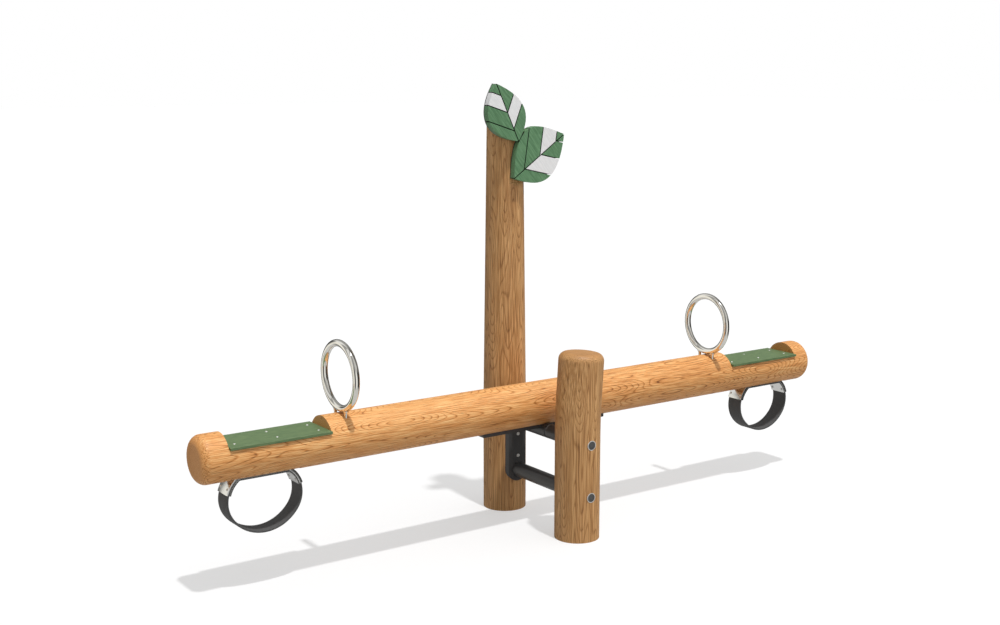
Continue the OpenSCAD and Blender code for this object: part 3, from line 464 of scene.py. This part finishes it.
postTimber = {
    "facets": 144,
    "topRound": 0.03,
    "domeStations": 13,
    "seating": 0.0001,  # room round a cap's rim in its pocket
    "pocketFacets": 64,
    "pocketReach": 1.0,  # the cut goes on outwards to this Y, well past the post
    "flatNode": None,  # plate that lies on a sawn flat
    "crisp": 40,
}
tallPost = dict(postTimber, taperFrom=0.46, taper=0.016, footStations=40, stemStations=109,
    flatNode="lower_leaf_plate", flatMargin=0.005)
shortPost = dict(postTimber, length=0.75, stemStations=90, bendFrom=0.44, bendTo=0.56, lean=math.radians(3.6))


def domed(length, radius, settings):
    # stations and radii with a rounded top added: z = z0 + R sin p, r = r0 - R (1 - cos p)
    rounding = settings["topRound"]
    turn = np.linspace(0, math.pi / 2, settings["domeStations"] + 1)[1:]
    z = np.concatenate([length, length[-1] + rounding * np.sin(turn)])
    return z, np.concatenate([radius, radius[-1] - rounding * (1 - np.cos(turn))])


def tallPath(settings):
    # straight foot, then a stem that gets thinner by the taper up to the top
    low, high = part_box("tall_post")
    taperFrom = settings["taperFrom"]
    foot = np.linspace(0, taperFrom, settings["footStations"])
    stem = np.linspace(taperFrom, high.z - settings["topRound"], settings["stemStations"] + 1)[1:]
    length = np.concatenate([foot, stem])
    share = np.clip((length - taperFrom) / (high.z - taperFrom), 0, 1)
    z, radius = domed(length, (high.y - low.y) / 2 - settings["taper"] * share, settings)
    centre = np.stack([np.zeros_like(z), np.full_like(z, postY), z], axis=-1)
    return centre, np.broadcast_to([1.0, 0.0, 0.0], centre.shape), radius


def shortPath(settings):
    # upright foot, then a bend to the side: x and z are the sums of sin and cos of the tilt times the step
    low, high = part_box("short_post")
    stations = settings["stemStations"]
    length = np.linspace(0, settings["length"] - settings["topRound"], stations)
    along, radius = domed(length, np.full(stations, (high.y - low.y) / 2), settings)
    share = np.clip((along - settings["bendFrom"]) / (settings["bendTo"] - settings["bendFrom"]), 0, 1)
    tilt = settings["lean"] * share
    step = np.diff(along, prepend=0)
    x = np.cumsum(np.sin(tilt) * step)
    rise = np.cumsum(np.cos(tilt) * step)
    centre = np.stack([x, np.full_like(along, -postY), rise], axis=-1)
    across = np.stack([np.cos(tilt), np.zeros_like(along), -np.sin(tilt)], axis=-1)
    return centre, across, radius


def makePost(name, node, material, path, settings):
    # a round bar along a path: centre + r (cos a across + sin a forward)
    angles = np.linspace(0, 2 * math.pi, settings["facets"], endpoint=False)
    centre, across, radius = path
    ring = np.cos(angles)[:, None] * across[:, None, :] + np.sin(angles)[:, None] * np.array([0, 1, 0])
    points = centre[:, None, :] + radius[:, None, None] * ring
    if settings["flatNode"]:
        low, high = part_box(settings["flatNode"])
        above = points[:, :, 2] > low.z - settings["flatMargin"]
        points[:, :, 1] = np.where(above, np.maximum(points[:, :, 1], high.y), points[:, :, 1])
    post = gridSolid(name, points, material, "frame", "post_wood", [node])

    # pockets for the cap rims on this post's outer side
    bars = []
    for low, high in solidBoxes("cap_rims"):
        outwards = np.sign(low[1])
        if outwards == np.sign(centre[0, 1]):
            x, z = (low[0] + high[0]) / 2, (low[2] + high[2]) / 2
            pocket = (high[0] - low[0]) / 2 + settings["seating"]
            floor = outwards * min(abs(low[1]), abs(high[1]))
            far = outwards * settings["pocketReach"]
            bars.append(roundBar((x, floor, z), (x, far, z), pocket, settings["pocketFacets"]))
    carve(post, bars)
    splitEdges(post, settings["crisp"])
    return post


makeBeam(beamLog)
makePost("tallPost", "tall_post", looks["tallPost"], tallPath(tallPost), tallPost)
makePost("shortPost", "short_post", looks["shortPost"], shortPath(shortPost), shortPost)
print("timber made")


# Handle rings

handleRing = {
    "ringFacets": 256,
    "tubeFacets": 48,
    "pegGauge": 0.08,
    "pegRadius": 0.006,
    "pegStations": 90,
    "pegFacets": 32,
    "weld": 0.004,  # by how much, and over what height, the weld flares a peg
    "crisp": 50,
}


def makeRing(name, node, settings):
    # torus: (R + r cos b) round the ring at angle a, r sin b to its side
    low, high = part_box(node)
    tube = (high.x - low.x) / 2
    reach = (high.y - low.y) / 2 - tube
    centre = np.array([(low.x + high.x) / 2, 0, high.z - tube - reach])
    count = (settings["ringFacets"], settings["tubeFacets"])
    a = np.linspace(0, 2 * math.pi, count[0], endpoint=False)[:, None]
    b = np.linspace(0, 2 * math.pi, count[1], endpoint=False)[None, :]
    spread = reach + tube * np.cos(b)
    aside = np.broadcast_to(tube * np.sin(b), count)
    torus = np.stack([aside, spread * np.cos(a), spread * np.sin(a)], axis=-1) + centre
    index = np.arange(torus[..., 0].size).reshape(count)
    down, right = np.roll(index, -1, axis=0), np.roll(index, -1, axis=1)
    faces = np.stack([index, right, np.roll(down, -1, axis=1), down], axis=-1).reshape(-1, 4).tolist()

    # pegs: r(z) = peg radius + weld exp(-depth below the ring / weld)
    pegs = []
    turn = np.linspace(0, 2 * math.pi, settings["pegFacets"], endpoint=False)
    for y in (-settings["pegGauge"] / 2, settings["pegGauge"] / 2):
        top = centre[2] - math.sqrt(reach**2 - y**2)
        z = np.linspace(low.z, top, settings["pegStations"])[:, None]
        under = np.maximum(top - tube - z, 0)
        r = settings["pegRadius"] + settings["weld"] * np.exp(-under / settings["weld"])
        peg = np.broadcast_arrays(centre[0] + r * np.cos(turn), y + r * np.sin(turn), z)
        pegs.append(np.stack(peg, axis=-1))
    pegVertices, pegFaces = joinBars(pegs, index.size)
    vertices = np.concatenate([torus.reshape(-1, 3), pegVertices])
    steel = looks["polished_steel"]
    ring = finishPiece(name, vertices, faces + pegFaces, steel, "beam", "polished_steel", [node])
    splitEdges(ring, settings["crisp"])
    return ring


makeRing("leftHandleRing", "left_handle_ring", handleRing)
makeRing("rightHandleRing", "right_handle_ring", handleRing)
print("rings made")


# Bumper belts

bumperBelt = {
    "sideRadius": 0.108,
    "shoulder": 0.087,  # from the bracket's top down to the side arcs' centres
    "topGap": 0.002,
    "thick": 0.008,
    "edge": 0.002,  # rounding of the strip
    "edgeSteps": 5,
    "sideStations": 48,
    "underStations": 70,
    "crisp": 60,
}


def legCentre(beltNode):
    # X of the side arcs' centres from the belt's middle
    low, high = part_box(beltNode)
    return (high.x - low.x - bumperBelt["thick"]) / 2 - bumperBelt["sideRadius"]


def makeBelt(name, node, bracketNode, settings):
    # a rounded strip (n, y) carried along three arcs, side, underside and side: arc centre + (R + n) out.
    # The underside's arc runs into the side arcs without a bend.
    low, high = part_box(node)
    middle = (low.x + high.x) / 2
    thick = settings["thick"]
    side = settings["sideRadius"]
    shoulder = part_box(bracketNode)[1].z - settings["shoulder"]
    sideX = legCentre(node)
    fall = shoulder - low.z - thick / 2
    bottom = (sideX**2 + fall**2 - side**2) / (2 * (fall - side))
    join = math.atan2(bottom - fall, sideX)
    top = math.asin((settings["shoulder"] - settings["topGap"]) / (side + thick / 2))
    sideCount, underCount = settings["sideStations"], settings["underStations"]
    angle = np.concatenate([np.linspace(top, -join, sideCount),
        np.linspace(-join, -math.pi + join, underCount + 2)[1:-1],
        np.linspace(math.pi + join, math.pi - top, sideCount)])[:, None]
    counts = (sideCount, underCount, sideCount)
    radius = np.repeat([side, bottom, side], counts)[:, None]
    centreX = np.repeat([sideX, 0, -sideX], counts)[:, None]
    centreZ = np.repeat([shoulder, shoulder - fall + bottom, shoulder], counts)[:, None]
    half = (thick / 2, (high.y - low.y) / 2)
    strip = roundedSection((0, 0), half, settings["edge"], settings["edgeSteps"])
    out = radius + strip[:, 0]
    points = np.stack([middle + centreX + out * np.cos(angle), np.broadcast_to(strip[:, 1], out.shape),
        centreZ + out * np.sin(angle)], axis=-1)
    belt = gridSolid(name, points, looks["belt_rubber"], "beam", "belt_rubber", [node])
    splitEdges(belt, settings["crisp"])
    return belt


bumperClamp = {
    "inRadius": 0.104,
    "outRadius": 0.116,
    "lowAngle": math.radians(16),
    "room": 0.0004,  # under the beam's flat
    "edge": 0.0012,
    "edgeSteps": 4,
    "stations": 40,
    "crisp": 40,
}


def makeClamps(name, node, settings):
    # rounded bar section (radius, width) carried up each leg: x = r cos t, z = r sin t, from the low angle
    # to the flat under the beam, where t = asin(height / r) ends every fibre at one level
    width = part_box(node)[1].y
    rIn, rOut = settings["inRadius"], settings["outRadius"]
    half = ((rOut - rIn) / 2, width)
    section = roundedSection(((rIn + rOut) / 2, 0), half, settings["edge"], settings["edgeSteps"])
    radius, across = section[:, 0], section[:, 1]
    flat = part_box("left_bumper_bracket")[1].z - settings["room"]
    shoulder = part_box("left_bumper_bracket")[1].z - bumperBelt["shoulder"]
    last = np.arcsin((flat - shoulder) / radius)
    along = np.linspace(0, 1, settings["stations"])[:, None]
    angle = settings["lowAngle"] + along * (last - settings["lowAngle"])
    wide = np.broadcast_to(across, angle.shape)
    legs = []
    for end in ("left", "right"):
        low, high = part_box(f"{end}_bumper_bracket")
        out = legCentre(f"{end}_bumper_belt") + radius * np.cos(angle)
        for way in (-1, 1):
            x = (low.x + high.x) / 2 + way * out
            legs.append(np.stack([x, wide, shoulder + radius * np.sin(angle)], axis=-1))
    clamps = finishPiece(name, *joinBars(legs), looks["bumper_steel"], "beam", "bumper_steel", [node])
    splitEdges(clamps, settings["crisp"])
    return clamps


bumperLiner = {
    "thick": 0.004,
    "bar": 0.005,  # thickness of the bumper bar above it
    "edge": 0.001,
    "edgeSteps": 5,
    "proud": 0.0008,  # beyond the belt's side
    "reach": 0.07,  # beyond the side arcs' centres
    "stations": 24,
    "crisp": 50,
}


def makeLiners(name, settings):
    # rubber strip under each bumper bar: a section (y, z) with two rounded corners carried along x
    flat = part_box("left_bumper_bracket")[1].z
    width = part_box("left_bumper_belt")[1].y + settings["proud"]
    edge = settings["edge"]
    turn = np.linspace(0, math.pi / 2, settings["edgeSteps"])
    top = flat - settings["bar"]
    low = top - settings["thick"]
    underside = np.stack([width - edge + edge * np.cos(turn), low + edge - edge * np.sin(turn)], axis=-1)
    section = np.concatenate([underside, underside[::-1] * [-1, 1], [[-width, top], [width, top]]])
    strips = []
    for end in ("left", "right"):
        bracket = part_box(f"{end}_bumper_bracket")
        half = legCentre(f"{end}_bumper_belt") + settings["reach"]
        x = (bracket[0].x + bracket[1].x) / 2 + np.linspace(-half, half, settings["stations"])
        strip = np.empty((len(x), len(section), 3))
        strip[..., 0] = x[:, None]
        strip[..., 1:] = section
        strips.append(strip)
    liners = finishPiece(name, *joinBars(strips), looks["belt_rubber"], "beam", "belt_rubber", [])
    splitEdges(liners, settings["crisp"])
    return liners


makeLiners("bumperLiners", bumperLiner)
makeClamps("bumperClamps", "bumper_clamp_plates", bumperClamp)
makeBelt("leftBumperBelt", "left_bumper_belt", "left_bumper_bracket", bumperBelt)
makeBelt("rightBumperBelt", "right_bumper_belt", "right_bumper_bracket", bumperBelt)
print("belts made")


# Screws

coachScrew = {
    "headHeight": 0.005,
    "shank": 0.004,  # radius
    "socket": 0.0065,  # across flats
    "socketDepth": 0.0032,
    "tip": 0.007,
    "tipShare": 0.2,  # of the shank's radius that is left at the very tip
    "domeFrom": 0.66,  # where the dome begins, in socket widths: just past the hexagon's corners
    "domeRings": 9,
    "facets": 48,
    "crisp": 35,
}
seatScrew = dict(coachScrew, headHeight=0.002, shank=0.0025, socket=0.0034, socketDepth=0.0014, tip=0.005)


def makeScrews(name, node, body, axis, way, settings):
    # turned profile (depth below the crown, radius): socket floor, socket wall, dome, shank and tip.
    # Dome depth = S - sqrt(S^2 - r^2) with S = (R^2 + h^2) / 2h; socket hexagon r = w / 2 / cos(a to a flat)
    height = settings["headHeight"]
    shank = settings["shank"]
    facets = settings["facets"]
    angles = np.linspace(0, 2 * math.pi, facets, endpoint=False)
    hexagon = settings["socket"] / 2 / np.cos(np.mod(angles, math.pi / 3) - math.pi / 6)
    beside = [i for i in range(3) if i != axis]
    screws = []
    for low, high in solidBoxes(node):
        reach = (high - low)[beside[0]] / 2
        length = (high - low)[axis]
        sphere = (reach**2 + height**2) / (2 * height)
        dome = np.linspace(settings["socket"] * settings["domeFrom"], reach, settings["domeRings"])
        turned = np.concatenate([dome, [shank, shank, shank * settings["tipShare"]]])
        rings = np.concatenate([[hexagon, hexagon], np.repeat(turned[:, None], facets, axis=1)])
        depth = sphere - np.sqrt(sphere**2 - rings**2)
        depth[0] = settings["socketDepth"]
        depth[1] = depth[2]
        depth[-3], depth[-2], depth[-1] = height, length - settings["tip"], length
        points = np.empty((*rings.shape, 3))
        points[..., beside[0]] = (low + high)[beside[0]] / 2 + rings * np.cos(angles)
        points[..., beside[1]] = (low + high)[beside[1]] / 2 + rings * np.sin(angles)
        points[..., axis] = (high[axis] if way > 0 else low[axis]) - way * depth
        screws.append(points)
    piece = finishPiece(name, *joinBars(screws), looks["fastener_steel"], body, "fastener_steel", [node])
    splitEdges(piece, settings["crisp"])
    return piece


makeScrews("rearBracketScrews", "rear_bracket_screws", "frame", 1, -1, coachScrew)
makeScrews("frontBracketScrews", "front_bracket_screws", "frame", 1, 1, coachScrew)
makeScrews("saddleScrews", "saddle_screws", "beam", 2, -1, coachScrew)
makeScrews("bumperScrews", "bumper_screws", "beam", 2, -1, coachScrew)
makeScrews("seatScrews", "seat_screws", "beam", 2, 1, seatScrew)
print("screws made")


# CAD nodes that stay: their materials, and edges broken as a workshop leaves them

slotNodes = {
    "black_steel": ["upper_leaf_plate", "lower_leaf_plate", "rear_bracket", "front_bracket", "lower_tube",
        "rear_axle_sleeve", "front_axle_sleeve", "bearing_tube", "left_saddle_plate", "right_saddle_plate"],
    "bumper_steel": ["left_bumper_bracket", "right_bumper_bracket"],
    "seat_plastic": ["left_seat_board", "right_seat_board"],
    "cap_plastic": ["cover_caps"],
    "bush_plastic": ["rear_bush", "front_bush"],
    "leaf_white": ["upper_leaf_left_board_3", "upper_leaf_right_board_2",
        "lower_leaf_left_board_3", "lower_leaf_right_board_2"],
}
nodeEdges = {
    "break": {"black_steel": 0.001, "bumper_steel": 0.0006, "seat_plastic": 0.002, "leaf_green": 0.0022,
        "leaf_white": 0.0022},
    "segments": 2,
    "sharper": 40,  # only edges with more than this angle are broken
    "weld": 0.00001,
    "flat": 0.5,  # triangles within this angle are one face
    "crisp": 35,
}


def slotOf(node):
    for slot, names in slotNodes.items():
        if node in names:
            return slot
    return "leaf_green" if "leaf" in node and "screws" not in node else "fastener_steel"


def dressNode(node, piece, settings):
    slot = slotOf(node)
    piece.data.materials.clear()
    piece.data.materials.append(looks[slot])
    piece.data.polygons.foreach_set("use_smooth", np.ones(len(piece.data.polygons), bool))
    weld = piece.modifiers.new("weldSeams", "WELD")
    weld.merge_threshold = settings["weld"]
    if slot in settings["break"]:
        flat = piece.modifiers.new("joinFlats", "DECIMATE")
        flat.decimate_type = "DISSOLVE"
        flat.angle_limit = math.radians(settings["flat"])
        edge = piece.modifiers.new("brokenEdges", "BEVEL")
        edge.width = settings["break"][slot]
        edge.segments = settings["segments"]
        edge.limit_method = "ANGLE"
        edge.angle_limit = math.radians(settings["sharper"])
        flatFaces = piece.modifiers.new("flatFaces", "WEIGHTED_NORMAL")
        flatFaces.keep_sharp = True
    else:
        splitEdges(piece, settings["crisp"])


for node, piece in nodes.items():
    if node not in replacedNodes:
        dressNode(node, piece, nodeEdges)
print("nodes dressed:", len(nodes) - len(replacedNodes))


# Floor, light and camera

studio = {
    "sunAim": (0.005, 0.27, -0.96),  # the way the light travels
    "sun": 0.69,
    "sunAngle": 2.0,
    "sky": 0.53,
    "skyLean": 0.45,  # the soft light is stronger from the right of the picture
    "skySide": (0.82, -0.57, 0.0),
    "nearer": (-0.57, -0.82, 0.0),  # towards the camera, level
    "screens": [(0.0, 0.1), (0.152, 0.1), (0.178, "#fdfaf2"), (0.235, "#fdfaf2"), (0.25, 0.2), (0.275, 0.2),
        (0.29, "#fdfaf2"), (0.37, "#fdfaf2"), (0.39, 0.2), (0.48, 0.08), (0.51, 0.6), (0.54, 1.0),
        (0.62, 1.0), (0.64, 0.3), (0.66, 0.04), (0.82, 0.04), (0.87, 0.35), (0.93, 0.35), (1.0, 0.1)],
    "ceiling": [(0.0, 0.4), (0.08, 0.35), (0.15, 0.9), (0.19, 0.9), (0.22, 0.35), (0.26, 0.35), (0.3, 0.8),
        (0.36, 0.8), (0.45, 0.3), (0.52, 0.3), (0.58, 0.65), (0.7, 0.6), (0.78, 0.12), (0.86, 0.12),
        (1.0, 0.4)],
    "overhead": (0.2, 0.4),  # rise over which the screens give way to the ceiling
    "underfoot": (-0.4, -0.56),  # and to the floor
    "floorHalf": 60.0,
    "floorLevel": -0.0006,  # a little under the posts' feet, so that the two don't share a plane
    "floorGlow": 0.5,
    "floorShade": 0.45,
    "floorBounce": 0.36,  # what the floor throws back on the object
    "below": (0.63, 0.63, 0.63, 1.0),  # the floor as metal sees it
    "camera": (-3.3023, -4.4314, 1.8466),
    "cameraTurn": (80.0, 0.0, -35.0),
    "lens": 50.0,
    "sensor": 36.0,
}


def makeStudio(settings):
    scene = bpy.context.scene
    scene.view_settings.view_transform = "Standard"
    white = (1, 1, 1, 1)
    half = settings["floorHalf"]
    level = settings["floorLevel"]
    mesh = bpy.data.meshes.new("floor")
    corners = [(-half, -half, level), (half, -half, level), (half, half, level), (-half, half, level)]
    mesh.from_pydata(corners, [], [(0, 1, 2, 3)])
    floor = bpy.data.objects.new("floor", mesh)
    scene.collection.objects.link(floor)
    material = bpy.data.materials.new("paleFloor")
    material.use_nodes = True
    tree = material.node_tree
    tree.nodes.clear()
    path = addNode(tree, "ShaderNodeLightPath")
    seen = addNode(tree, "ShaderNodeMath",
        {0: path.outputs["Is Camera Ray"], 1: path.outputs["Is Glossy Ray"]}, operation="MAXIMUM").outputs[0]
    lit = addNode(tree, "ShaderNodeMath",
        {0: seen, 1: settings["floorGlow"]}, operation="MULTIPLY").outputs[0]
    tint = addNode(tree, "ShaderNodeMapRange",
        {0: path.outputs["Is Camera Ray"], 3: settings["floorBounce"], 4: settings["floorShade"]}).outputs[0]
    plain = addNode(tree, "ShaderNodeBsdfDiffuse", {"Color": tint})
    glow = addNode(tree, "ShaderNodeEmission", {"Color": white, "Strength": lit})
    both = addNode(tree, "ShaderNodeAddShader", {0: plain.outputs[0], 1: glow.outputs[0]})
    addNode(tree, "ShaderNodeOutputMaterial", {"Surface": both.outputs[0]})
    mesh.materials.append(material)
    floor.visible_glossy = False

    world = bpy.data.worlds.new("paleStudio")
    world.use_nodes = True
    scene.world = world
    tree = world.node_tree
    tree.nodes.clear()
    path = addNode(tree, "ShaderNodeLightPath")
    way = addNode(tree, "ShaderNodeTexCoord").outputs["Generated"]
    rise = addNode(tree, "ShaderNodeSeparateXYZ", {0: way}).outputs["Z"]
    # white screens on both sides and dark cloths between them draw the streaks in polished steel:
    # turn = atan2(to the right, towards the camera), 0 behind the object and round to 1
    aside = addNode(tree, "ShaderNodeVectorMath", {0: way, 1: settings["skySide"]}, operation="DOT_PRODUCT")
    nearer = addNode(tree, "ShaderNodeVectorMath", {0: way, 1: settings["nearer"]}, operation="DOT_PRODUCT")
    turn = addNode(tree, "ShaderNodeMath",
        {0: aside.outputs["Value"], 1: nearer.outputs["Value"]}, operation="ARCTAN2").outputs[0]
    span = addNode(tree, "ShaderNodeMapRange", {0: turn, 1: -math.pi, 2: math.pi}).outputs[0]
    cloth = addNode(tree, "ShaderNodeValToRGB", {0: span}, stops=settings["screens"]).outputs[0]
    ceiling = addNode(tree, "ShaderNodeValToRGB", {0: span}, stops=settings["ceiling"]).outputs[0]
    start, end = settings["overhead"]
    overhead = addNode(tree, "ShaderNodeMapRange", {0: rise, 1: start, 2: end}).outputs[0]
    upper = addNode(tree, "ShaderNodeMix", {0: overhead, 6: cloth, 7: ceiling}, data_type="RGBA").outputs[2]
    start, end = settings["underfoot"]
    underfoot = addNode(tree, "ShaderNodeMapRange", {0: rise, 1: start, 2: end}).outputs[0]
    streaks = addNode(tree, "ShaderNodeMix",
        {0: underfoot, 6: upper, 7: settings["below"]}, data_type="RGBA").outputs[2]
    strength = addNode(tree, "ShaderNodeMath",
        {0: aside.outputs["Value"], 1: settings["skyLean"], 2: settings["sky"]},
        operation="MULTIPLY_ADD").outputs[0]
    soft = addNode(tree, "ShaderNodeBackground", {"Color": white, "Strength": strength})
    seen = addNode(tree, "ShaderNodeBackground", {"Color": white, "Strength": 1.0})
    shine = addNode(tree, "ShaderNodeBackground", {"Color": streaks, "Strength": 1.0})
    glossy = addNode(tree, "ShaderNodeMixShader",
        {0: path.outputs["Is Glossy Ray"], 1: soft.outputs[0], 2: shine.outputs[0]})
    clear = addNode(tree, "ShaderNodeMath",
        {0: path.outputs["Is Camera Ray"], 1: path.outputs["Is Transmission Ray"]}, operation="MAXIMUM")
    mixed = addNode(tree, "ShaderNodeMixShader",
        {0: clear.outputs[0], 1: glossy.outputs[0], 2: seen.outputs[0]})
    addNode(tree, "ShaderNodeOutputWorld", {"Surface": mixed.outputs[0]})

    lamp = bpy.data.lights.new("sun", "SUN")
    lamp.energy = settings["sun"] * math.pi
    lamp.angle = math.radians(settings["sunAngle"])
    sun = bpy.data.objects.new("sun", lamp)
    aim = np.array(settings["sunAim"])
    east, north, down = aim / np.linalg.norm(aim)
    sun.rotation_euler = (math.acos(-down), 0, math.atan2(-east, north))
    scene.collection.objects.link(sun)

    view = bpy.data.cameras.new("camera")
    view.lens = settings["lens"]
    view.sensor_width = settings["sensor"]
    camera = bpy.data.objects.new("camera", view)
    camera.location = settings["camera"]
    camera.rotation_euler = [math.radians(a) for a in settings["cameraTurn"]]
    scene.collection.objects.link(camera)
    scene.camera = camera


makeStudio(studio)
print("studio made")
